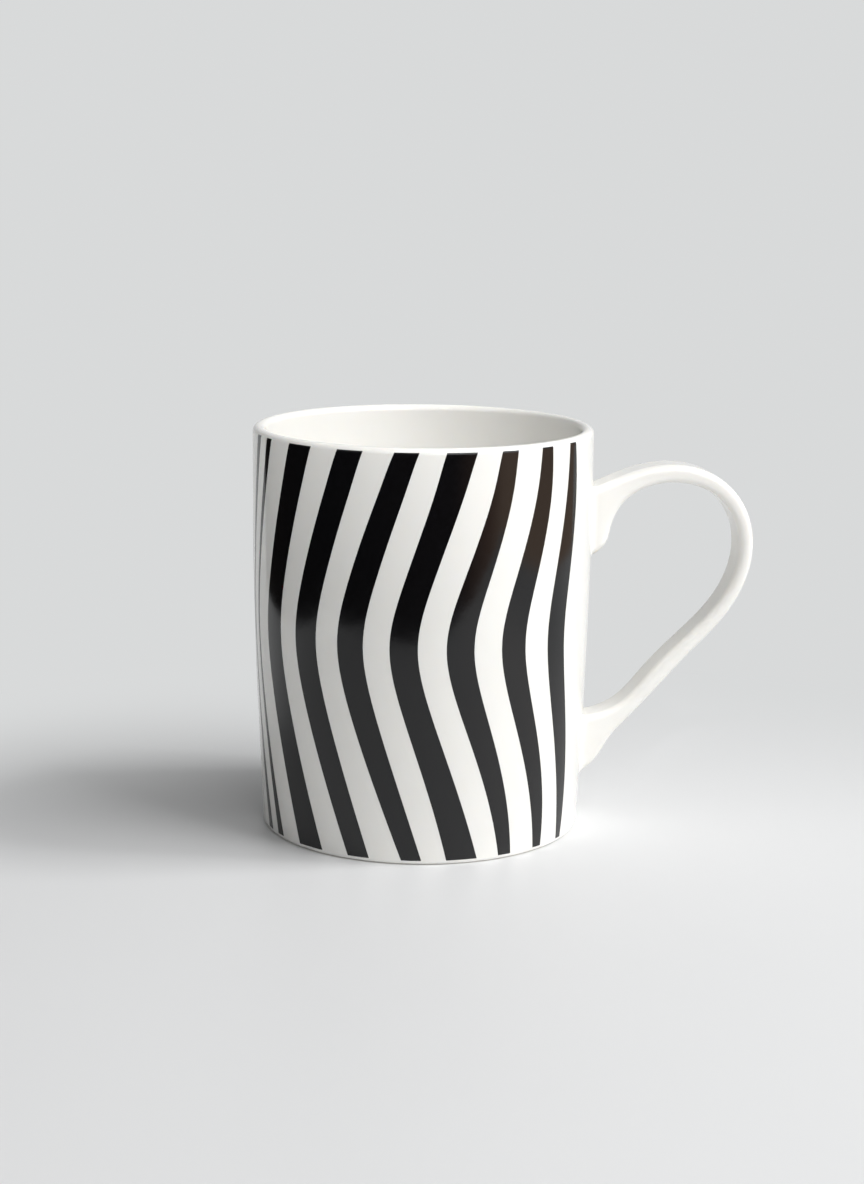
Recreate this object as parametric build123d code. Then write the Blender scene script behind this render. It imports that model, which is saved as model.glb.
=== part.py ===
"""A tapered ceramic mug with a strap handle and bent black stripes, in millimetres.

The cup's axis is Z, the foot stands on z = 0 and the handle points along +X.
Clay, slip, glaze and stripes are separate solids that meet face to face.
"""

from build123d import *
import math
import os

# Cup, measured over the glaze
HEIGHT = 93.3
RIM_RADIUS = 39.0
FOOT_RADIUS = 36.8
WALL_BOW = 0.7
WALL = 2.8
FLOOR = 4.2
FLOOR_CORNER = 8.0

# Foot: a bare ring round a shallow recess
FOOT_EDGE = 0.9
FOOT_LAND = 2.6
RECESS_DEPTH = 1.6
RECESS_CORNER = 1.2

# Layers
GLAZE = 0.25
SLIP = 0.8
STRIPE_FILM = 0.06
STRIPE_FOOT_GAP = 1.0
STRIPE_RIM_GAP = 1.3

# Handle strap: its middle line is a shoulder, a crown, a belly and a straight run,
# each tangent to the next; angles in degrees
HANDLE_WIDTH = 9.3
HANDLE_EDGE = 1.4
HANDLE_REACH = 37.3
HANDLE_RIM_DROP = 11.6
SHOULDER_RADIUS, SHOULDER_TURN = 32.0, 16.5
CROWN_RADIUS = 17.0
BELLY_RADIUS = 24.5
RUN_SLOPE, RUN_LENGTH = 46.0, 31.0
STRAP_TOP, STRAP_BEND, STRAP_FOOT = 4.7, 3.4, 4.2
STRAP_STATIONS = 9

# Handle joints on the wall, with the outline points of each as (out, up);
# each outline starts JOINT_SINK inside the wall's surface
JOINT_SINK = 1.6
UPPER_JOINT_DROP = 13.9
UPPER_JOINT_HEIGHT = 16.4
UPPER_JOINT_TOP = [(-JOINT_SINK, -1.4), (2.6, 0.2)]
UPPER_JOINT_SPUR = [(8.3, 12.8), (4.8, 6.6), (3.4, 2.2), (-JOINT_SINK, -0.6)]
LOWER_JOINT_FOOT = 10.0
LOWER_JOINT_HEIGHT = 14.4
LOWER_JOINT_TOP = [(-JOINT_SINK, -0.3), (4.0, 0.6)]
LOWER_JOINT_SPUR = [(6.9, 8.8), (3.9, 3.8), (-JOINT_SINK, -0.6)]

# Stripes: on each side broad strokes from the handle round, then slivers. Bearings
# and widths are in degrees; every stripe bows away from the handle at the bend
BEND_HEIGHT = 49.5
BEND_SOFTNESS = 0.22
BROAD_COUNT, SLIVER_COUNT = 7, 2
FIRST_BEARING, PITCH, PITCH_LOSS = 47.0, 19.5, 0.2
SLIVER_BEARING, SLIVER_PITCH = 171.0, 7.0
BOW, BOW_BEARING, BOW_SPAN = 21.0, 118.0, 90.0
RIM_BOW = 0.88
FOOT_WIDTH, BEND_WIDTH, RIM_WIDTH = 3.0, 9.2, 4.0
WIDTH_GROWTH = 1.0
HEAVY_STRIPES = 4, 7
HEAVY_WIDTHS = 11.0, 9.2, 10.0
SLIVER_WIDTHS = 4.0, 1.6, 3.4
UPRIGHT, UPRIGHT_LOSS = 1.4, 0.4

# A stripe's cutter reaches between two shares of the wall's radius
STRIPE_SECTIONS = 13
CUTTER_NEAR, CUTTER_FAR = 0.5, 1.2


def circle_through(a, b, c):
    """Centre and radius of the circle through three (radius, height) points."""
    (ax, ay), (bx, by), (cx, cy) = a, b, c
    d = 2 * (ax * (by - cy) + bx * (cy - ay) + cx * (ay - by))
    aa, bb, cc = ax * ax + ay * ay, bx * bx + by * by, cx * cx + cy * cy
    x = (aa * (by - cy) + bb * (cy - ay) + cc * (ay - by)) / d
    y = (aa * (cx - bx) + bb * (ax - cx) + cc * (bx - ax)) / d
    return x, y, math.hypot(ax - x, ay - y)


CURVE_R, CURVE_Z, CURVE = circle_through(
    (FOOT_RADIUS, 0), ((FOOT_RADIUS + RIM_RADIUS) / 2 + WALL_BOW, HEIGHT / 2), (RIM_RADIUS, HEIGHT)
)
LIP_Z = HEIGHT - WALL / 2
FLOOR_Z = RECESS_DEPTH + FLOOR


def wall_radius(z, grow=0.0):
    """Radius of the glazed outside at height z, moved out by grow."""
    return CURVE_R + math.sqrt((CURVE + grow) ** 2 - (z - CURVE_Z) ** 2)


def wall_arc(z_low, z_high, grow=0.0):
    """The wall's curve between two heights, moved out by grow."""
    heights = (z_low, (z_low + z_high) / 2, z_high)
    return ThreePointArc(*[(wall_radius(z, grow), z) for z in heights])


def corner_arc(start, end, centre):
    """A round corner from start to end that bulges away from centre."""
    (ax, ay), (bx, by), (cx, cy) = start, end, centre
    mx, my = (ax + bx) / 2 - cx, (ay + by) / 2 - cy
    reach = math.hypot(ax - cx, ay - cy) / math.hypot(mx, my)
    return ThreePointArc(start, (cx + mx * reach, cy + my * reach), end)


def revolved(edges):
    """The solid swept round Z by a closed outline of (radius, height) edges."""
    wire = Wire.combine([edge for item in edges for edge in item.edges()])[0]
    return revolve(Plane.XZ * Face(wire), Axis.Z, 360)


def cup_skin(grow):
    """The outline over the wall, lip and inside, from the foot edge to the axis."""
    lip_mid = wall_radius(LIP_Z, -WALL / 2)
    inner = -WALL - grow
    floor_z = FLOOR_Z + grow
    corner_z = FLOOR_Z + FLOOR_CORNER
    corner_r = wall_radius(corner_z, inner)
    floor_r = corner_r - FLOOR_CORNER + grow
    return [
        wall_arc(FOOT_EDGE, LIP_Z, grow),
        ThreePointArc(
            (wall_radius(LIP_Z, grow), LIP_Z),
            (lip_mid, LIP_Z + WALL / 2 + grow),
            (wall_radius(LIP_Z, inner), LIP_Z),
        ),
        wall_arc(corner_z, LIP_Z, inner),
        corner_arc((corner_r, corner_z), (floor_r, floor_z), (floor_r, corner_z)),
        Line((floor_r, floor_z), (0, floor_z)),
    ]


def filled_cup(grow):
    """The cup's outside as a solid block, to cut what is fixed to the wall."""
    return revolved(
        [
            wall_arc(0, HEIGHT, grow),
            Polyline(
                (wall_radius(HEIGHT, grow), HEIGHT),
                (0, HEIGHT),
                (0, 0),
                (wall_radius(0, grow), 0),
            ),
        ]
    )


def clay_body():
    """The cup: wall, floor, foot ring and the recess under the floor."""
    land_out = wall_radius(0) - FOOT_EDGE
    land_in = land_out - FOOT_LAND
    corner_r = land_in - RECESS_CORNER
    corner_z = RECESS_DEPTH - RECESS_CORNER
    return revolved(
        cup_skin(-GLAZE)
        + [
            Line((0, FLOOR_Z - GLAZE), (0, RECESS_DEPTH)),
            Line((0, RECESS_DEPTH), (corner_r, RECESS_DEPTH)),
            corner_arc((corner_r, RECESS_DEPTH), (land_in, corner_z), (corner_r, corner_z)),
            Line((land_in, corner_z), (land_in, 0)),
            Line((land_in, 0), (land_out, 0)),
            corner_arc((land_out, 0), (wall_radius(FOOT_EDGE, -GLAZE), FOOT_EDGE), (land_out, FOOT_EDGE)),
        ]
    )


def from_wall(points, z_zero, grow):
    """Outline points given as (out from the wall, up from z_zero), moved out by grow."""
    return [(wall_radius(z_zero + up) + out + grow, z_zero + up) for out, up in points]


def strap_side(spine, side, grow):
    """One face of the strap: points beside its middle line, side +1 outer, -1 inner."""
    points = []
    for i in range(STRAP_STATIONS):
        t = i / (STRAP_STATIONS - 1)
        ends = STRAP_TOP + (STRAP_FOOT - STRAP_TOP) * t
        half = (ends + (STRAP_BEND - ends) * math.sin(math.pi * t)) / 2 + grow
        normal = (spine % t).rotate(Axis.Z, 90) * side
        point = spine @ t + normal * half
        points.append((point.X, point.Y))
    return points


def turn(centre, radius, start, end):
    """The arc round centre between two angles in degrees."""
    angles = [math.radians(angle) for angle in (start, (start + end) / 2, end)]
    x, y = centre
    return ThreePointArc(*[(x + radius * math.cos(a), y + radius * math.sin(a)) for a in angles])


def strap_middle():
    """The strap's middle line in side view, from the upper joint to the lower one."""
    crown_z = HEIGHT - HANDLE_RIM_DROP
    bend_z = crown_z - CROWN_RADIUS
    bend_r = wall_radius(bend_z) + HANDLE_REACH
    crown_r = bend_r - CROWN_RADIUS
    shoulder_centre = crown_r, crown_z - SHOULDER_RADIUS
    belly = turn((bend_r - BELLY_RADIUS, bend_z), BELLY_RADIUS, 0, RUN_SLOPE - 90)
    return Wire(
        [
            turn(shoulder_centre, SHOULDER_RADIUS, 90 + SHOULDER_TURN, 90),
            turn((crown_r, bend_z), CROWN_RADIUS, 90, 0),
            belly,
            PolarLine(belly @ 1, RUN_LENGTH, 180 + RUN_SLOPE),
        ]
    )


def handle_outlines(grow):
    """The strap's outer and inner faces in side view, joints and spurs with them."""
    spine = strap_middle()
    upper_top = HEIGHT - UPPER_JOINT_DROP
    upper_foot = upper_top - UPPER_JOINT_HEIGHT
    lower_top = LOWER_JOINT_FOOT + LOWER_JOINT_HEIGHT
    outer = (
        from_wall(UPPER_JOINT_TOP, upper_top + grow, grow)
        + strap_side(spine, 1, grow)
        + from_wall(LOWER_JOINT_SPUR, LOWER_JOINT_FOOT - grow, grow)
    )
    inner = (
        from_wall(LOWER_JOINT_TOP, lower_top + grow, grow)
        + strap_side(spine, -1, grow)[::-1]
        + from_wall(UPPER_JOINT_SPUR, upper_foot - grow, grow)
    )
    return outer, inner


def handle_blank(grow):
    """The whole strap with its ends sunk in the wall, its long edges rounded."""
    outer, inner = handle_outlines(grow)
    upper, lower = Spline(outer), Spline(inner)
    wire = Wire.combine([
        *upper.edges(), Line(upper @ 1, lower @ 0), *lower.edges(), Line(lower @ 1, upper @ 0)
    ])[0]
    half = HANDLE_WIDTH / 2 + grow
    blank = extrude(Plane.XZ * Face(wire), half, both=True)
    long_edges = [edge for edge in blank.edges() if edge.length > HANDLE_REACH]
    return fillet(long_edges, HANDLE_EDGE + grow)


def joint_slip(handle):
    """Slip squeezed out round both joints, the upper collar first."""
    skirt = handle_blank(SLIP - GLAZE) & (filled_cup(SLIP - GLAZE) - filled_cup(-GLAZE))
    collars = (skirt - handle).solids().sort_by(Axis.Z, reverse=True)
    return collars[0], collars[-1]


def glaze_coat():
    """The glaze over everything but the foot ring, hollow where the clay and slip are."""
    coat = revolved(
        cup_skin(0)
        + cup_skin(-GLAZE)
        + [
            Line((0, FLOOR_Z), (0, FLOOR_Z - GLAZE)),
            Line((wall_radius(FOOT_EDGE, -GLAZE), FOOT_EDGE), (wall_radius(FOOT_EDGE), FOOT_EDGE)),
        ]
    )
    skirt = handle_blank(SLIP) & filled_cup(SLIP)
    over = (handle_blank(0) + skirt) - filled_cup(-GLAZE)
    slip_skirt = handle_blank(SLIP - GLAZE) & filled_cup(SLIP - GLAZE)
    return coat + over - handle_blank(-GLAZE) - slip_skirt


def glaze_underside():
    """The disc of glaze in the recess, inside the bare foot ring."""
    radius = wall_radius(0) - FOOT_EDGE - FOOT_LAND - RECESS_CORNER
    return Pos(0, 0, RECESS_DEPTH - GLAZE / 2) * Cylinder(radius, GLAZE)


def stripe_shape(number):
    """A stripe's bearings and widths at foot, bend and rim, and how upright its ends are."""
    step = number - 1
    grown = WIDTH_GROWTH * step
    bend = FIRST_BEARING + step * (PITCH - PITCH_LOSS * step)
    widths = FOOT_WIDTH + grown, BEND_WIDTH, RIM_WIDTH + grown
    if number in HEAVY_STRIPES:
        widths = HEAVY_WIDTHS
    if number > BROAD_COUNT:
        bend = SLIVER_BEARING + SLIVER_PITCH * (step - BROAD_COUNT)
        widths = SLIVER_WIDTHS
    bow = BOW * (1 - ((bend - BOW_BEARING) / BOW_SPAN) ** 2)
    upright = max(0.0, UPRIGHT - UPRIGHT_LOSS * step)
    return (bend - bow, bend, bend - RIM_BOW * bow), widths, upright


def bend_share(share, upright):
    """How far a stripe has swung from its bend, 0 at the bend to 1 at its end."""
    soft = BEND_SOFTNESS
    swing = (math.hypot(share, soft) - soft) / (math.hypot(1, soft) - soft)
    return swing + upright * (math.sin(math.pi / 2 * swing) - swing)


def stripe_edges(bearings, widths, upright, z, z_low, z_high):
    """The two bearings, in degrees, of a stripe's edges at height z."""
    end = z_high if z > BEND_HEIGHT else z_low
    swung = bend_share((z - BEND_HEIGHT) / (end - BEND_HEIGHT), upright)
    reached = bearings[2] if z > BEND_HEIGHT else bearings[0]
    middle = bearings[1] + (reached - bearings[1]) * swung
    share = 2 * (z - z_low) / (z_high - z_low) - 1
    bow = (widths[0] + widths[2]) / 2 - widths[1]
    half = (widths[1] + (widths[2] - widths[0]) / 2 * share + bow * share * share) / 2
    return middle - half, middle + half


def stripe(film, side, bearings, widths, upright):
    """One stripe, cut from the film round the wall; side -1 is -Y, +1 is +Y."""
    z_low, z_high = STRIPE_FOOT_GAP, HEIGHT - STRIPE_RIM_GAP
    near, far = FOOT_RADIUS * CUTTER_NEAR, RIM_RADIUS * CUTTER_FAR
    sections = []
    for i in range(STRIPE_SECTIONS):
        z = z_low + (z_high - z_low) * i / (STRIPE_SECTIONS - 1)
        edges = stripe_edges(bearings, widths, upright, z, z_low, z_high)
        left, right = [math.radians(side * bearing) for bearing in edges]
        corners = [(near, left), (far, left), (far, right), (near, right)]
        points = [(r * math.cos(a), r * math.sin(a), z) for r, a in corners]
        sections.append(Face(Wire.make_polygon(points)))
    return film & loft(sections)


def build():
    """Every node of the mug by name."""
    body = clay_body()
    handle = handle_blank(-GLAZE) - filled_cup(-GLAZE)
    upper_slip, lower_slip = joint_slip(handle)
    nodes = {
        "clay_body": body,
        "clay_handle": handle,
        "upper_joint_slip": upper_slip,
        "lower_joint_slip": lower_slip,
        "glaze_coat": glaze_coat(),
        "glaze_underside": glaze_underside(),
    }
    z_low, z_high = STRIPE_FOOT_GAP, HEIGHT - STRIPE_RIM_GAP
    film = revolved(
        [
            wall_arc(z_low, z_high),
            wall_arc(z_low, z_high, STRIPE_FILM),
            Line((wall_radius(z_low), z_low), (wall_radius(z_low, STRIPE_FILM), z_low)),
            Line((wall_radius(z_high), z_high), (wall_radius(z_high, STRIPE_FILM), z_high)),
        ]
    )
    for side, name in ((-1, "front"), (1, "back")):
        for number in range(1, BROAD_COUNT + SLIVER_COUNT + 1):
            nodes[f"{name}_stripe_{number}"] = stripe(film, side, *stripe_shape(number))
    return nodes


os.makedirs("parts", exist_ok=True)
for name, solid in build().items():
    export_step(solid, f"parts/{name}.step")
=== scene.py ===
"""A white porcelain mug with a strap handle and bent black stripes, on a pale table in soft light.

Lengths are in metres. The cup's axis is Z, the foot stands on z = 0 and the handle points along +X.
"""

import math

import bpy
import numpy as np
from mathutils import Matrix, Vector

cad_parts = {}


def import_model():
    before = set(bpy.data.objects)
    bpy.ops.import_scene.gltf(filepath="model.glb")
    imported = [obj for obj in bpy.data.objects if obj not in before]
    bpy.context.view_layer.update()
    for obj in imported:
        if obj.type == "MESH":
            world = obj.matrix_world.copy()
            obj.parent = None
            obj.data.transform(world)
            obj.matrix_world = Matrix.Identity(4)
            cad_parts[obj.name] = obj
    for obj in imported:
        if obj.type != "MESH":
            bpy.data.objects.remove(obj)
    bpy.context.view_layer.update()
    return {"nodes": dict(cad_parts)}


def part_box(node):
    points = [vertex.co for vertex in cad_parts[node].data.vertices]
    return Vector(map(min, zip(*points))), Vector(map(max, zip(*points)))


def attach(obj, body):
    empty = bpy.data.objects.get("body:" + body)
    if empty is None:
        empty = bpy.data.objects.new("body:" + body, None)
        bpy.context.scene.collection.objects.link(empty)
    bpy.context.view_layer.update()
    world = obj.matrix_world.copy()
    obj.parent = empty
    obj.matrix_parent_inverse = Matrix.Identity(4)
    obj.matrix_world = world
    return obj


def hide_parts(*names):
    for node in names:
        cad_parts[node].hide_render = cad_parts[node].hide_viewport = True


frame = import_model()

MM = 0.001

# Cup: what the frame does not say as a box
LIP_ROUND = 1.4 * MM
FLOOR_TOP = 5.8 * MM
FLOOR_CORNER = 8.0 * MM
FOOT_EDGE = 0.9 * MM
GLAZE_BEAD = 0.12 * MM
GLAZE_WRAP = 50
SKIN_DEPTH = 1.2 * MM
RECESS_COVER = 2.6 * MM
TURNS = 360
FLOOR_RINGS, CORNER_RINGS, INSIDE_RINGS = 20, 20, 56
LIP_RINGS, OUTSIDE_RINGS, FOOT_RINGS = 24, 70, 12
BEAD_TURN = 4

# Handle strap: its middle line is a shoulder, a crown, a belly and a straight run,
# each tangent to the next; angles in degrees
HANDLE_WIDTH = 9.3 * MM
HANDLE_EDGE = 1.6 * MM
HANDLE_REACH = 37.3 * MM
HANDLE_RIM_DROP = 11.6 * MM
SHOULDER_RADIUS, SHOULDER_TURN = 32.0 * MM, 16.5
CROWN_RADIUS = 17.0 * MM
BELLY_RADIUS = 24.5 * MM
RUN_SLOPE, RUN_LENGTH = 46.0, 31.0 * MM
STRAP_TOP, STRAP_BEND, STRAP_FOOT = 4.7 * MM, 3.4 * MM, 4.2 * MM
STRAP_STATIONS = 9
SPINE_COUNT = 1 + 50 * (STRAP_STATIONS - 1)
OUTLINE_COUNT = 420
ARC_COUNT = 200

# Handle joints on the wall: the outline points of each, in mm, as (out from the wall, up)
UPPER_JOINT_DROP = 13.9 * MM
UPPER_JOINT_HEIGHT = 16.4 * MM
UPPER_JOINT_TOP = [(-1.6, -1.4), (2.6, 0.2)]
UPPER_JOINT_SPUR = [(8.3, 12.8), (4.8, 6.6), (3.4, 2.2), (-1.6, -0.6)]
LOWER_JOINT_FOOT = 10.0 * MM
LOWER_JOINT_HEIGHT = 14.4 * MM
LOWER_JOINT_TOP = [(-1.6, -0.3), (4.0, 0.6)]
LOWER_JOINT_SPUR = [(6.9, 8.8), (3.9, 3.8), (-1.6, -0.6)]

# The blend of handle into wall, and the patch of wall that goes with the handle's mesh
BLEND_TOP = 0.8 * MM
BLEND_SIDE = 1.4 * MM
PATCH_MARGIN = 3.4 * MM
PATCH_LIFT = 0.01 * MM
PATCH_DIVE = 0.03 * MM
PATCH_DEPTH = 1.2 * MM
MESH_STEP = 0.45 * MM
DIVE_RATE = 1.3
SETTLE_ROUNDS = 2
SETTLE_NUDGE = 0.01 * MM
LEAST_STEEP = 0.25
CHUNK = 4000
TINY = 1e-15
PATCH_SPARE = 3 * MM

# Stripes
FILM = 0.03 * MM
FILM_SUNK = 0.05 * MM
FILM_BEVEL = 0.03 * MM
LIP_RUN = 0.55 * MM
THIN_STRIPE = 2.5 * MM
POINT_HALF = 0.05 * MM
STRIPE_ROWS = 150
STRIPE_COLUMNS = 8
EDGE_SPACING = 0.8 * MM
CORNER_ROUND = 0.05 * MM
STRIPE_COUNT = 9
BEVEL_ROWS = 2
END_CROWDING = 0.25
SIDE_FACING = 0.7

# Table and backdrop: colours, and where the table gives way to a painted glow of the backdrop's tone
TABLE_DARK = 0.765, 0.77, 0.775
TABLE_LIGHT = 0.785, 0.79, 0.795
TABLE_RADIUS = 6.0
TABLE_INNER_RING = 0.05
TABLE_RINGS = 24
TABLE_TURNS = 96
BACKDROP = 0.69, 0.70, 0.702
FADE_CENTRE = 0.0, -0.12, 0.0
FADE_START, FADE_END = 0.135, 0.27

# The glowing screens that only reflections see, painted reflections of a dim room: their plan as (across,
# away) and their tones from left to right
ROOM_PLAN = [(-0.235, 0.16), (-0.235, -0.115), (-0.13, -0.205), (0.33, -0.265), (0.33, 0.16)]
ROOM_FOOT = 0.2 * MM
ROOM_HEIGHT = 0.13
ROOM_TURN = 0.4
REFLECTION_GLOW_TONES = [
    (0.0, (0.01, 0.01, 0.01)),
    (0.45, (0.03, 0.02, 0.015)),
    (0.65, (0.5, 0.3, 0.2)),
    (0.8, (1.0, 0.7, 0.5)),
    (1.0, (0.5, 0.35, 0.25)),
]
ROOM_LIGHT = 0.18, 0.18, 0.18

# Camera: where it stands, and which way it looks, in degrees
CAMERA_DISTANCE, CAMERA_HEIGHT, CAMERA_BEARING = 0.52, 0.163, 8.0
CAMERA_HEADING, CAMERA_PITCH, CAMERA_ROLL = 8.26, 11.82, 0.6
CAMERA_LENS = 69.5


# ---------------------------------------------------------------- the wall, read from the frame

def cad_points(node):
    """Radius and height of each vertex of a CAD node."""
    points = np.array([v.co for v in frame["nodes"][node].data.vertices])
    return np.hypot(points[:, 0], points[:, 1]), points[:, 2]


def fit_wall():
    """The glazed outside's radius as a quadratic in height, from the stripes that lie on it."""
    stripes = [cad_points(f"front_stripe_{n}") for n in range(1, STRIPE_COUNT + 1)]
    radii, heights = map(np.concatenate, zip(*stripes))
    rough = np.polyfit(heights, radii, 2)
    on_wall = radii < np.polyval(rough, heights)
    return np.polyfit(heights[on_wall], radii[on_wall], 2)


WALL = fit_wall()
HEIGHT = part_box("glaze_coat")[1].z
LIP_HEIGHT = HEIGHT - LIP_ROUND


def wall_radius(height):
    return np.polyval(WALL, height)


def wall_slope(height):
    return np.polyval(np.polyder(WALL), height)


# ---------------------------------------------------------------- mesh helpers

def new_piece(name, points, faces, finish, replaced):
    """A smooth mesh piece of the mug that stands for CAD nodes."""
    mesh = bpy.data.meshes.new(name)
    mesh.from_pydata([tuple(p) for p in points], [], [tuple(map(int, f)) for f in faces])
    mesh.shade_smooth()
    mesh.materials.append(finish)
    piece = bpy.data.objects.new(name, mesh)
    bpy.context.scene.collection.objects.link(piece)
    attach(piece, "root")
    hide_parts(*replaced)
    return piece


def smoothstep(x):
    x = np.clip(x, 0, 1)
    return x * x * (3 - 2 * x)


def spline(points, count):
    """A smooth curve through the points, as count places evenly spaced in chord length."""
    points = np.array(points, float)
    chord = np.concatenate([[0], np.cumsum(np.hypot(*np.diff(points, axis=0).T))])
    gap = np.diff(chord)
    rise = np.diff(points, axis=0) / gap[:, None]
    size = len(points)
    system = np.eye(size)
    right = np.zeros((size, 2))
    for i in range(1, size - 1):
        system[i, i - 1:i + 2] = gap[i - 1], 2 * (gap[i - 1] + gap[i]), gap[i]
        right[i] = 6 * (rise[i] - rise[i - 1])
    bend = np.linalg.solve(system, right)
    at = np.linspace(0, chord[-1], count)
    k = np.clip(np.searchsorted(chord, at, "right") - 1, 0, size - 2)
    h, u = gap[k][:, None], (at - chord[k])[:, None]
    return (
        points[k]
        + u * (rise[k] - h * (2 * bend[k] + bend[k + 1]) / 6)
        + u ** 2 * bend[k] / 2
        + u ** 3 * (bend[k + 1] - bend[k]) / (6 * h)
    )


def arc(centre, radius, start, end, count):
    """Points of an arc in (radius, height), angles in degrees."""
    angles = np.radians(np.linspace(start, end, count))
    return [(centre[0] + radius * math.cos(a), centre[1] + radius * math.sin(a)) for a in angles]


# ---------------------------------------------------------------- glazed cup

def cup_profile():
    """The cup's outline from the middle of its floor, over the lip and down to the glaze's lower edge."""
    inner = 2 * LIP_ROUND
    corner_top = FLOOR_TOP + FLOOR_CORNER
    floor_reach = wall_radius(corner_top) - inner - FLOOR_CORNER
    lip_middle = wall_radius(LIP_HEIGHT) - LIP_ROUND
    inside = [(wall_radius(z) - inner, z) for z in np.linspace(corner_top, LIP_HEIGHT, INSIDE_RINGS)[1:-1]]
    outside = [(wall_radius(z), z) for z in np.linspace(LIP_HEIGHT, FOOT_EDGE, OUTSIDE_RINGS)[1:-1]]
    foot = wall_radius(FOOT_EDGE)
    foot_middle = (foot - FOOT_EDGE, FOOT_EDGE)
    floor = [(r, FLOOR_TOP) for r in np.linspace(0, floor_reach, FLOOR_RINGS)[1:-1]]
    return [
        *floor,
        *arc((floor_reach, corner_top), FLOOR_CORNER, -90, 0, CORNER_RINGS),
        *inside,
        *arc((lip_middle, LIP_HEIGHT), LIP_ROUND, 180, 0, LIP_RINGS),
        *outside,
        *arc(foot_middle, FOOT_EDGE, 0, -GLAZE_WRAP, FOOT_RINGS),
        *arc(foot_middle, FOOT_EDGE - GLAZE_BEAD, -GLAZE_WRAP - BEAD_TURN, -GLAZE_WRAP, 2),
        (foot - SKIN_DEPTH, FOOT_EDGE + GLAZE_BEAD),
        (foot - SKIN_DEPTH - RECESS_COVER, RECESS_COVER),
    ]


def glazed_cup(finish):
    """The porcelain cup under its glaze, turned from its outline; its bare foot ring is the CAD body."""
    profile = np.array(cup_profile())
    turn = np.arange(TURNS) * 2 * math.pi / TURNS
    rings = len(profile)
    points = np.empty((rings, TURNS, 3))
    points[:, :, 0] = profile[:, :1] * np.cos(turn)
    points[:, :, 1] = profile[:, :1] * np.sin(turn)
    points[:, :, 2] = profile[:, 1:]
    points = np.vstack([points.reshape(-1, 3), (0, 0, FLOOR_TOP), (0, 0, RECESS_COVER)])
    floor_middle, underside_middle = len(points) - 2, len(points) - 1
    start = np.arange(TURNS)
    after = (start + 1) % TURNS
    faces = [(floor_middle, a, b) for a, b in zip(start, after)]
    for ring in range(rings - 1):
        low, high = ring * TURNS, (ring + 1) * TURNS
        faces += list(zip(low + start, high + start, high + after, low + after))
    last = (rings - 1) * TURNS
    faces += [(underside_middle, last + b, last + a) for a, b in zip(start, after)]
    return new_piece("glazed_cup", points, faces, finish, ["glaze_coat"])


# ---------------------------------------------------------------- glazed handle

def strap_middle():
    """The strap's middle line in side view, from the upper joint to the lower one, in even steps."""
    crown_z = HEIGHT - HANDLE_RIM_DROP
    bend_z = crown_z - CROWN_RADIUS
    bend_x = wall_radius(bend_z) + HANDLE_REACH
    crown_x = bend_x - CROWN_RADIUS
    shoulder_centre = crown_x, crown_z - SHOULDER_RADIUS
    shoulder = arc(shoulder_centre, SHOULDER_RADIUS, 90 + SHOULDER_TURN, 90, ARC_COUNT)
    crown = arc((crown_x, bend_z), CROWN_RADIUS, 90, 0, ARC_COUNT)
    belly = arc((bend_x - BELLY_RADIUS, bend_z), BELLY_RADIUS, 0, RUN_SLOPE - 90, ARC_COUNT)
    slope = math.radians(RUN_SLOPE)
    run_end = belly[-1][0] - RUN_LENGTH * math.cos(slope), belly[-1][1] - RUN_LENGTH * math.sin(slope)
    line = np.array(shoulder + crown[1:] + belly[1:] + [run_end])
    walked = np.concatenate([[0], np.cumsum(np.hypot(*np.diff(line, axis=0).T))])
    even = np.linspace(0, walked[-1], SPINE_COUNT)
    return np.stack([np.interp(even, walked, column) for column in line.T], 1)


def strap_side(spine, side):
    """One face of the strap beside its middle line, side +1 outer, -1 inner."""
    t = np.linspace(0, 1, STRAP_STATIONS)
    at = (t * (len(spine) - 1)).astype(int)
    along = np.gradient(spine, axis=0)[at]
    along /= np.hypot(*along.T)[:, None]
    ends = STRAP_TOP + (STRAP_FOOT - STRAP_TOP) * t
    half = (ends + (STRAP_BEND - ends) * np.sin(np.pi * t)) / 2
    normal = np.stack([-along[:, 1], along[:, 0]], 1) * side
    return (spine[at] + normal * half[:, None]).tolist()


def from_wall(points, zero):
    """Outline points given in mm as (out from the wall, up from zero)."""
    return [(wall_radius(zero + up * MM) + out * MM, zero + up * MM) for out, up in points]


def handle_outline():
    """The strap, its joints and spurs in side view, as a closed line of (x, z) points."""
    spine = strap_middle()
    upper_top = HEIGHT - UPPER_JOINT_DROP
    outer = (
        from_wall(UPPER_JOINT_TOP, upper_top)
        + strap_side(spine, 1)
        + from_wall(LOWER_JOINT_SPUR, LOWER_JOINT_FOOT)
    )
    inner = (
        from_wall(LOWER_JOINT_TOP, LOWER_JOINT_FOOT + LOWER_JOINT_HEIGHT)
        + strap_side(spine, -1)[::-1]
        + from_wall(UPPER_JOINT_SPUR, upper_top - UPPER_JOINT_HEIGHT)
    )
    return np.vstack([spline(outer, OUTLINE_COUNT), spline(inner, OUTLINE_COUNT)])


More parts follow.
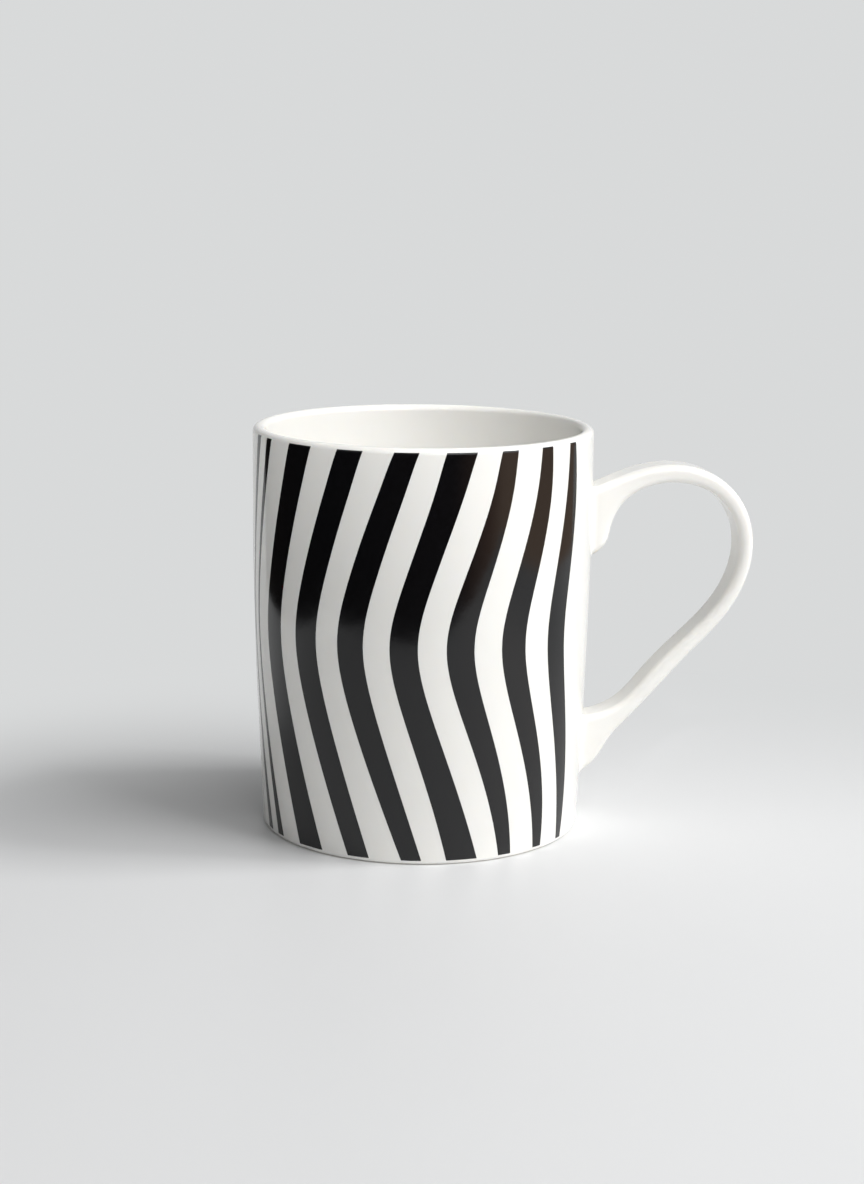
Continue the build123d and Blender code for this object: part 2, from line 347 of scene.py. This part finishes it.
def outline_distance(points, outline):
    """Signed distance of (x, z) points from the closed outline, negative inside, and which way is out."""
    start, end = outline, np.roll(outline, -1, axis=0)
    edge = end - start
    length = (edge ** 2).sum(1)
    normal = np.stack([-edge[:, 1], edge[:, 0]], 1) / np.sqrt(length)[:, None]
    distance, out = np.empty(len(points)), np.empty((len(points), 2))
    for chunk in np.array_split(np.arange(len(points)), max(1, len(points) // CHUNK)):
        x, z = points[chunk, 0][:, None], points[chunk, 1][:, None]
        dx, dz = x - start[:, 0], z - start[:, 1]
        share = np.clip((dx * edge[:, 0] + dz * edge[:, 1]) / length, 0, 1)
        away = (dx - share * edge[:, 0]) ** 2 + (dz - share * edge[:, 1]) ** 2
        crossed = ((start[:, 1] > z) != (end[:, 1] > z)) & (dx < edge[:, 0] * dz / (edge[:, 1] + TINY))
        inside = crossed.sum(1) % 2 == 1
        distance[chunk] = np.sqrt(away.min(1)) * np.where(inside, -1, 1)
        out[chunk] = normal[away.argmin(1)]
    return distance, out


def blended_handle(points, side_view):
    """Signed distance from the handle run into a patch of wall; side_view is the outline's distance."""
    x, y, z = points.T
    inward = side_view + HANDLE_EDGE
    across = np.abs(y) - HANDLE_WIDTH / 2 + HANDLE_EDGE
    corner = np.hypot(np.maximum(inward, 0), np.maximum(across, 0))
    strap = corner + np.minimum(np.maximum(inward, across), 0) - HANDLE_EDGE
    wall = (np.hypot(x, y) - wall_radius(z)) / np.hypot(1, wall_slope(z))
    reach = BLEND_TOP + (BLEND_SIDE - BLEND_TOP) * smoothstep(np.abs(y) / (HANDLE_WIDTH / 2))
    dive = smoothstep((strap - reach) / PATCH_MARGIN * DIVE_RATE)
    skin = wall - PATCH_LIFT + (PATCH_LIFT + PATCH_DIVE) * dive
    joined = np.maximum(reach, np.minimum(strap, skin)) - np.hypot(
        np.maximum(reach - strap, 0), np.maximum(reach - skin, 0)
    )
    return np.maximum.reduce([joined, strap - BLEND_SIDE - PATCH_MARGIN, -wall - PATCH_DEPTH])


def net_over(field, low, step):
    """A quad mesh round the part of a regular grid where field is negative."""
    inside = field < 0
    shape = tuple(n - 1 for n in field.shape)
    count = np.zeros(shape)
    middle = np.zeros(shape + (3,))
    ends = [slice(None, -1), slice(1, None)]
    crossings = []
    for axis in range(3):
        near, glow_share = np.take(field, range(shape[axis]), axis), np.take(field, range(1, shape[axis] + 1), axis)
        crossed = (near < 0) != (glow_share < 0)
        share = np.where(crossed, near / np.where(crossed, near - glow_share, 1), 0)
        crossings.append((crossed, near < 0))
        others = [a for a in range(3) if a != axis]
        for first in (0, 1):
            for second in (0, 1):
                cut = [slice(None)] * 3
                cut[others[0]], cut[others[1]] = ends[first], ends[second]
                here = crossed[tuple(cut)]
                count += here
                middle[..., axis] += share[tuple(cut)]
                middle[..., others[0]] += first * here
                middle[..., others[1]] += second * here
    used = count > 0
    number = np.full(shape, -1)
    number[used] = np.arange(used.sum())
    points = low + step * (np.argwhere(used) + middle[used] / count[used][:, None])
    faces = []
    for axis, (crossed, starts_inside) in enumerate(crossings):
        one, two = [a for a in range(3) if a != axis]
        where = np.argwhere(crossed)
        where = where[(where[:, one] > 0) & (where[:, two] > 0)]
        where = where[(where[:, one] < shape[one]) & (where[:, two] < shape[two])]
        corner = []
        for back_one, back_two in ((1, 1), (0, 1), (0, 0), (1, 0)):
            at = where.copy()
            at[:, one] -= back_one
            at[:, two] -= back_two
            corner.append(number[tuple(at.T)])
        quads = np.stack(corner, 1)
        outward = starts_inside[tuple(where.T)] ^ (axis == 1)
        quads[~outward] = quads[~outward][:, ::-1]
        faces.append(quads)
    return points, np.vstack(faces)


def glazed_handle(finish):
    """The strap handle with its ends run softly into the wall."""
    outline = handle_outline()
    margin = BLEND_SIDE + PATCH_MARGIN + 2 * MESH_STEP
    half = HANDLE_WIDTH / 2 + margin
    low = np.array([wall_radius(0) - PATCH_DEPTH - PATCH_SPARE, -half, outline[:, 1].min() - margin])
    high = np.array([outline[:, 0].max() + margin, half, outline[:, 1].max() + margin])
    xs, ys, zs = [np.arange(a, b, MESH_STEP) for a, b in zip(low, high)]
    flat = np.stack(np.meshgrid(xs, zs, indexing="ij"), -1)
    side_view = outline_distance(flat.reshape(-1, 2), outline)[0].reshape(flat.shape[:2])
    grid = np.stack(np.meshgrid(xs, ys, zs, indexing="ij"), -1)
    side_views = np.broadcast_to(side_view[:, None, :], grid.shape[:3])
    field = blended_handle(grid.reshape(-1, 3), side_views.ravel()).reshape(grid.shape[:3])
    points, faces = net_over(field, low, MESH_STEP)
    for _ in range(SETTLE_ROUNDS):
        points = settle(points, outline)
    return new_piece(
        "glazed_handle", points, faces, finish,
        ["glaze_coat", "upper_joint_slip", "lower_joint_slip"],
    )


def settle(points, outline):
    """Moves points onto the handle's surface along its slope."""
    distance, out = outline_distance(points[:, [0, 2]], outline)
    here = blended_handle(points, distance)
    slope = []
    for axis in np.eye(3):
        moved = distance + SETTLE_NUDGE * out @ axis[[0, 2]]
        slope.append((blended_handle(points + SETTLE_NUDGE * axis, moved) - here) / SETTLE_NUDGE)
    slope = np.stack(slope, 1)
    steep = np.maximum((slope ** 2).sum(1), LEAST_STEEP)
    move = here[:, None] * slope / steep[:, None]
    return points - np.clip(move, -MESH_STEP / 2, MESH_STEP / 2)


# ---------------------------------------------------------------- stripes

def edge_curve(node, side):
    """A long edge of a CAD stripe as a function from height to bearing, side +1 or -1 round the cup."""
    mesh = frame["nodes"][node].data
    rows = set()
    for face in mesh.polygons:
        around = Vector((-face.center.y, face.center.x, 0)).normalized()
        if face.normal.dot(around) * side > SIDE_FACING:
            for index in face.vertices:
                point = mesh.vertices[index].co
                rows.add((round(point.z, 6), math.atan2(point.y, point.x) % (2 * math.pi)))
    rows = sorted(rows)
    kept = [rows[0]]
    for row in rows[1:-1]:
        if row[0] - kept[-1][0] > EDGE_SPACING and rows[-1][0] - row[0] > EDGE_SPACING:
            kept.append(row)
    kept.append(rows[-1])
    heights, bearings = np.array(kept).T
    slopes = np.gradient(bearings, heights)

    def bearing(z):
        k = np.clip(np.searchsorted(heights, z) - 1, 0, len(heights) - 2)
        gap = heights[k + 1] - heights[k]
        u = np.minimum((z - heights[k]) / gap, 1)
        return (
            bearings[k] * (1 + 2 * u) * (1 - u) ** 2
            + bearings[k + 1] * u ** 2 * (3 - 2 * u)
            + gap * u * (1 - u) * (slopes[k] * (1 - u) - slopes[k + 1] * u)
            + slopes[-1] * np.maximum(z - heights[-1], 0)
        )

    return heights[0], bearing


def stripe(node, finish):
    """One stripe as a closed film of enamel that follows the wall and turns in over the lip at its top."""
    low, first = edge_curve(node, -1)
    _, second = edge_curve(node, 1)
    high = LIP_HEIGHT + LIP_RUN
    step = np.linspace(0, 1, STRIPE_ROWS - 2 * BEVEL_ROWS)
    crowded = (1 - np.cos(math.pi * step)) / 2
    along = low + (high - low) * ((1 - END_CROWDING) * step + END_CROWDING * crowded)
    edge_rows = FILM_BEVEL * np.arange(1, BEVEL_ROWS + 1)
    along = np.sort(np.concatenate([along, low + edge_rows, high - edge_rows]))
    turned = np.maximum(along - LIP_HEIGHT, 0) / LIP_ROUND
    upright = np.minimum(along, LIP_HEIGHT)
    radius = wall_radius(upright) - LIP_ROUND * (1 - np.cos(turned))
    left, right = first(along), second(along)
    half = (right - left) / 2 * radius
    corner = np.where(half.max() < THIN_STRIPE / 2, half, CORNER_ROUND)
    end = np.minimum(np.minimum(along - low, high - along) / corner, 1)
    half = np.maximum(half - corner * (1 - np.sqrt(1 - (1 - end) ** 2)), POINT_HALF)
    bevel = np.minimum(FILM_BEVEL, half / 4)
    flat = half - 2 * bevel
    spread = np.linspace(-1, 1, STRIPE_COLUMNS + 1)[:, None] * flat
    reach = np.vstack([-half, -half, -half + bevel, spread, half - bevel, half, half]).T
    columns = reach.shape[1]
    heights = np.full((STRIPE_ROWS, columns), FILM)
    heights[:, [1, -2]] = 0
    heights[[0, -1]] = 0
    heights[:, [0, -1]] = -FILM_SUNK
    angle = ((left + right) / 2)[:, None] + reach / radius[:, None]
    out = radius[:, None] + heights * np.cos(turned)[:, None]
    z = (upright + LIP_ROUND * np.sin(turned))[:, None] + heights * np.sin(turned)[:, None]
    points = np.stack([out * np.cos(angle), out * np.sin(angle), z], -1)
    number = np.arange(STRIPE_ROWS * columns).reshape(STRIPE_ROWS, columns)
    faces = []
    for i in range(STRIPE_ROWS - 1):
        for j in range(columns):
            k = (j + 1) % columns
            faces.append((number[i, j], number[i, k], number[i + 1, k], number[i + 1, j]))
    faces += [tuple(number[0][::-1]), tuple(number[-1])]
    name = node.replace("stripe", "enamel_stripe")
    return new_piece(name, points.reshape(-1, 3), faces, finish, [node])


# ---------------------------------------------------------------- finishes

class Signal:
    """A shader socket that works in Python sums."""

    def __init__(self, finish, socket):
        self.finish = finish
        self.socket = socket

    def maths(self, operation, *values):
        return self.finish.node("ShaderNodeMath", {"operation": operation}, dict(enumerate(values)))

    def __add__(self, other):
        return self.maths("ADD", self, other)

    def __sub__(self, other):
        return self.maths("SUBTRACT", self, other)

    def __mul__(self, other):
        return self.maths("MULTIPLY", self, other)

    __radd__ = __add__
    __rmul__ = __mul__


class Finish:
    """A node tree built up from a shader: a material, or the world."""

    def __init__(self, owner, shader, target, **constants):
        owner.use_nodes = True
        self.owner = owner
        self.tree = owner.node_tree
        self.tree.nodes.clear()
        self.shader = self.tree.nodes.new(shader)
        self.output = self.tree.nodes.new(target)
        self.tree.links.new(self.shader.outputs[0], self.output.inputs["Surface"])
        for name, value in constants.items():
            self.shader.inputs[name.replace("_", " ")].default_value = value

    def feed(self, socket, value):
        if isinstance(value, Signal):
            self.tree.links.new(value.socket, socket)
        else:
            socket.default_value = value

    def node(self, kind, settings=None, inputs=None, output=0):
        """Adds a node; its settings go on before its inputs."""
        made = self.tree.nodes.new(kind)
        for name, value in (settings or {}).items():
            if name == "stops":
                for element, (place, tone) in zip(self.stops(made, len(value)), value):
                    element.position = place
                    element.color = tone
            else:
                setattr(made, name, value)
        for name, value in (inputs or {}).items():
            self.feed(made.inputs[name], value)
        return Signal(self, made.outputs[output])

    def stops(self, ramp, count):
        elements = ramp.color_ramp.elements
        while len(elements) < count:
            elements.new(1)
        return elements

    def set(self, name, value):
        self.feed(self.shader.inputs[name], value)

    def place(self):
        """Where a point of the surface is, in metres."""
        return self.node("ShaderNodeTexCoord", output="Object")

    def noise(self, size, detail=2.0, roughness=0.5):
        """Smooth noise from 0 to 1 whose lumps are about size across."""
        return self.node(
            "ShaderNodeTexNoise",
            {"noise_dimensions": "3D"},
            {"Vector": self.place(), "Scale": 1 / size, "Detail": detail, "Roughness": roughness},
        )

    def mix(self, share, first, second):
        """Two colours mixed."""
        return self.node(
            "ShaderNodeMix",
            {"data_type": "RGBA"},
            {"Factor": share, 6: first, 7: second},
            output=2,
        )

    def bump(self, height, distance, under=None):
        inputs = {"Height": height, "Distance": distance, "Strength": 1.0}
        if under:
            inputs["Normal"] = under
        return self.node("ShaderNodeBump", None, inputs)


def surface(name, **constants):
    material = bpy.data.materials.new(name)
    return Finish(material, "ShaderNodeBsdfPrincipled", "ShaderNodeOutputMaterial", **constants)


def colour(red, green, blue):
    return red, green, blue, 1.0


def white_glaze():
    """Warm white porcelain under a thin clear glaze, its surface very faintly uneven."""
    finish = surface(
        "white_glaze", IOR=1.5, Subsurface_Weight=0.12, Subsurface_Radius=(1.0, 0.8, 0.55),
        Subsurface_Scale=1.2 * MM,
    )
    cloud = finish.noise(14 * MM, detail=3)
    cream, ivory = colour(0.825, 0.815, 0.782), colour(0.85, 0.842, 0.812)
    finish.set("Base Color", finish.mix(cloud, cream, ivory))
    finish.set("Roughness", 0.07 + 0.05 * finish.noise(5 * MM))
    peel = finish.bump(finish.noise(1.6 * MM), 0.004 * MM)
    finish.set("Normal", finish.bump(finish.noise(11 * MM, detail=1), 0.03 * MM, under=peel))
    return finish.owner


def black_enamel():
    """Black enamel fired on the glaze, glossy, with the faint mottle of a print."""
    finish = surface("black_enamel", IOR=1.5)
    finish.set("Base Color", finish.mix(
        finish.noise(0.9 * MM, detail=4), colour(0.0012, 0.0012, 0.0016), colour(0.005, 0.005, 0.006)
    ))
    finish.set("Roughness", 0.06 + 0.06 * finish.noise(2.5 * MM))
    peel = finish.bump(finish.noise(0.8 * MM), 0.002 * MM)
    finish.set("Normal", finish.bump(finish.noise(9 * MM, detail=1), 0.03 * MM, under=peel))
    return finish.owner


def bare_clay():
    """Fired clay without glaze: cream, matt and finely grained, as on the foot ring."""
    finish = surface("bare_clay", IOR=1.45)
    grain = finish.node("ShaderNodeTexVoronoi", None, {"Vector": finish.place(), "Scale": 1 / (0.9 * MM)})
    speck = finish.node(
        "ShaderNodeValToRGB", {"stops": [(0.0, colour(1, 1, 1)), (0.16, colour(0, 0, 0))]},
        {"Fac": grain},
    )
    body = finish.mix(finish.noise(0.6 * MM, detail=5), colour(0.66, 0.61, 0.53), colour(0.8, 0.76, 0.69))
    finish.set("Base Color", finish.mix(0.25 * speck, body, colour(0.33, 0.27, 0.2)))
    finish.set("Roughness", 0.68 + 0.22 * finish.noise(0.5 * MM))
    finish.set("Normal", finish.bump(finish.noise(0.25 * MM, detail=6, roughness=0.7), 0.05 * MM))
    return finish.owner


def table_finish():
    """A pale table top with a dull shine that turns, far from the mug, into a painted glow of the backdrop's
    tone; the glow also lightens the far part of the mug's shadow.
    """
    finish = surface("table_top", IOR=1.3)
    finish.set("Base Color", finish.mix(
        finish.noise(120 * MM, detail=3), colour(*TABLE_DARK), colour(*TABLE_LIGHT)
    ))
    finish.set("Roughness", 0.42 + 0.1 * finish.noise(40 * MM))
    finish.set("Normal", finish.bump(finish.noise(0.9 * MM, detail=3), 0.01 * MM))
    distance = finish.node(
        "ShaderNodeVectorMath", {"operation": "DISTANCE"},
        {0: finish.place(), 1: FADE_CENTRE}, output="Value",
    )
    glow_share = finish.node(
        "ShaderNodeMapRange", {"interpolation_type": "SMOOTHSTEP"},
        {"Value": distance, "From Min": FADE_START, "From Max": FADE_END},
    )
    # Painted light: beyond the fade the table glows with the backdrop's tone instead of being lit, which
    # also pales the far part of the mug's shadow.
    painted_backdrop_glow = finish.node("ShaderNodeEmission", None, {"Color": colour(*BACKDROP)})
    top = Signal(finish, finish.shader.outputs[0])
    both = finish.node("ShaderNodeMixShader", None, {0: glow_share, 1: top, 2: painted_backdrop_glow})
    finish.feed(finish.output.inputs["Surface"], both)
    return finish.owner


# ---------------------------------------------------------------- table, room, lights and camera

def stage_mesh(name, points, faces, finish):
    """A mesh of the surroundings, which is no part of the mug."""
    mesh = bpy.data.meshes.new(name)
    mesh.from_pydata(points, [], faces)
    mesh.materials.append(finish)
    thing = bpy.data.objects.new(name, mesh)
    bpy.context.scene.collection.objects.link(thing)
    return thing


def table(finish):
    """A round table top far wider than any view of the mug."""
    radii = np.geomspace(TABLE_INNER_RING, TABLE_RADIUS, TABLE_RINGS)
    turns = [2 * math.pi * i / TABLE_TURNS for i in range(TABLE_TURNS)]
    points = [(0, 0, 0)] + [(r * math.cos(a), r * math.sin(a), 0) for r in radii for a in turns]
    sides = [(i, (i + 1) % TABLE_TURNS) for i in range(TABLE_TURNS)]
    faces = [(0, 1 + i, 1 + after) for i, after in sides]
    for ring in range(TABLE_RINGS - 1):
        low = 1 + ring * TABLE_TURNS
        high = low + TABLE_TURNS
        faces += [(low + i, high + i, high + after, low + after) for i, after in sides]
    stage_mesh("table_top", points, faces, finish)


def reflection_screens():
    """Low glowing screens that only reflections see: painted reflections of a dim room round a lit table,
    dark on the left and glowing warm brown on the right.
    """
    finish = Finish(bpy.data.materials.new("reflection_screens"), "ShaderNodeEmission", "ShaderNodeOutputMaterial")
    across = finish.node(
        "ShaderNodeVectorMath", {"operation": "DOT_PRODUCT"},
        {0: finish.place(), 1: (1, ROOM_TURN, 0)}, output="Value",
    )
    left, right = ROOM_PLAN[0][0], ROOM_PLAN[-1][0]
    front, back = min(y for _, y in ROOM_PLAN), ROOM_PLAN[0][1]
    span = right - left + ROOM_TURN * (back - front)
    share = (across - (left + ROOM_TURN * front)) * (1 / span)
    # Painted reflections: the screens glow dark on the left and warm brown on the right, and are seen only
    # in the glaze and enamel.
    stops = [(place, colour(*tone)) for place, tone in REFLECTION_GLOW_TONES]
    finish.set("Color", finish.node("ShaderNodeValToRGB", {"stops": stops}, {"Fac": share}))
    points = [(x, y, z) for z in (ROOM_FOOT, ROOM_HEIGHT) for x, y in ROOM_PLAN]
    count = len(ROOM_PLAN)
    faces = [(i, i + 1, count + i + 1, count + i) for i in range(count - 1)]
    screens = stage_mesh("reflection_screens", points, faces, finish.owner)
    screens.rotation_euler.z = math.radians(-CAMERA_HEADING)
    screens.visible_camera = False
    screens.visible_diffuse = False
    screens.visible_shadow = False
    screens.visible_transmission = False


def aim(light, heading, elevation, distance, height):
    """Places a light that points at the cup's axis; heading in degrees from +X towards +Y."""
    lamp = bpy.data.objects.new(light.name, light)
    bpy.context.scene.collection.objects.link(lamp)
    h, e = math.radians(heading), math.radians(elevation)
    back = Vector((math.cos(h) * math.cos(e), math.sin(h) * math.cos(e), math.sin(e)))
    lamp.location = Vector((0, 0, height)) + back * distance
    lamp.rotation_mode = "QUATERNION"
    lamp.rotation_quaternion = back.to_track_quat("Z", "Y")


def soft_box(name, heading, elevation, distance, size, watts):
    light = bpy.data.lights.new(name, "AREA")
    light.shape = "RECTANGLE"
    light.size, light.size_y = size
    light.energy = watts
    aim(light, heading, elevation, distance, HEIGHT / 2)


def snoot(name, heading, elevation, distance, spread, watts):
    """A narrow soft-edged beam into the cup's mouth."""
    light = bpy.data.lights.new(name, "SPOT")
    light.spot_size = math.radians(spread)
    light.spot_blend = 1.0
    light.shadow_soft_size = 0.03
    light.energy = watts
    aim(light, heading, elevation, distance, HEIGHT)


def world():
    """The backdrop's pale tone for what is seen directly, and a dimmer room for the light on the mug."""
    finish = Finish(bpy.data.worlds.new("studio"), "ShaderNodeBackground", "ShaderNodeOutputWorld")
    seen = finish.node("ShaderNodeLightPath", output="Is Camera Ray")
    mirrored = finish.node("ShaderNodeLightPath", output="Is Glossy Ray")
    finish.set("Color", finish.mix(seen + mirrored, colour(*ROOM_LIGHT), colour(*BACKDROP)))
    bpy.context.scene.world = finish.owner


def camera():
    """Looks down a little at the front, with the handle to the right."""
    data = bpy.data.cameras.new("camera")
    data.lens = CAMERA_LENS
    data.clip_start, data.clip_end = 0.01, 30
    heading, pitch, roll = map(math.radians, (CAMERA_HEADING, CAMERA_PITCH, CAMERA_ROLL))
    ahead = Vector((math.sin(heading), math.cos(heading), 0))
    forward = ahead * math.cos(pitch) - Vector((0, 0, math.sin(pitch)))
    level = Vector((math.cos(heading), -math.sin(heading), 0))
    upright = level.cross(forward)
    right = math.cos(roll) * level + math.sin(roll) * upright
    up = math.cos(roll) * upright - math.sin(roll) * level
    bearing = math.radians(CAMERA_BEARING)
    back = -CAMERA_DISTANCE * Vector((math.sin(bearing), math.cos(bearing), 0))
    place = back + Vector((0, 0, CAMERA_HEIGHT))
    view = bpy.data.objects.new("camera", data)
    turned = Matrix((right, up, -forward)).transposed().to_4x4()
    view.matrix_world = Matrix.Translation(place) @ turned
    bpy.context.scene.collection.objects.link(view)
    bpy.context.scene.camera = view


# ---------------------------------------------------------------- put together

def build():
    """The mug's finishes, meshes and surroundings."""
    glaze, enamel, clay = white_glaze(), black_enamel(), bare_clay()
    for name, node in frame["nodes"].items():
        node.data.materials.clear()
        node.data.materials.append(glaze if name.startswith("glaze") else clay)
    glazed_cup(glaze)
    glazed_handle(glaze)
    for side in ("front", "back"):
        for number in range(1, STRIPE_COUNT + 1):
            stripe(f"{side}_stripe_{number}", enamel)
    table(table_finish())
    reflection_screens()
    world()
    soft_box("key", heading=-11, elevation=51, distance=1.6, size=(0.34, 0.34), watts=9.5)
    soft_box("wide", heading=-36, elevation=42, distance=1.6, size=(0.85, 0.4), watts=12.8)
    soft_box("window", heading=-60, elevation=24, distance=1.4, size=(1.6, 0.7), watts=8.4)
    snoot("inside", heading=-115, elevation=42, distance=1.0, spread=4.4, watts=22)
    camera()
    bpy.context.scene.view_settings.view_transform = "Standard"


build()
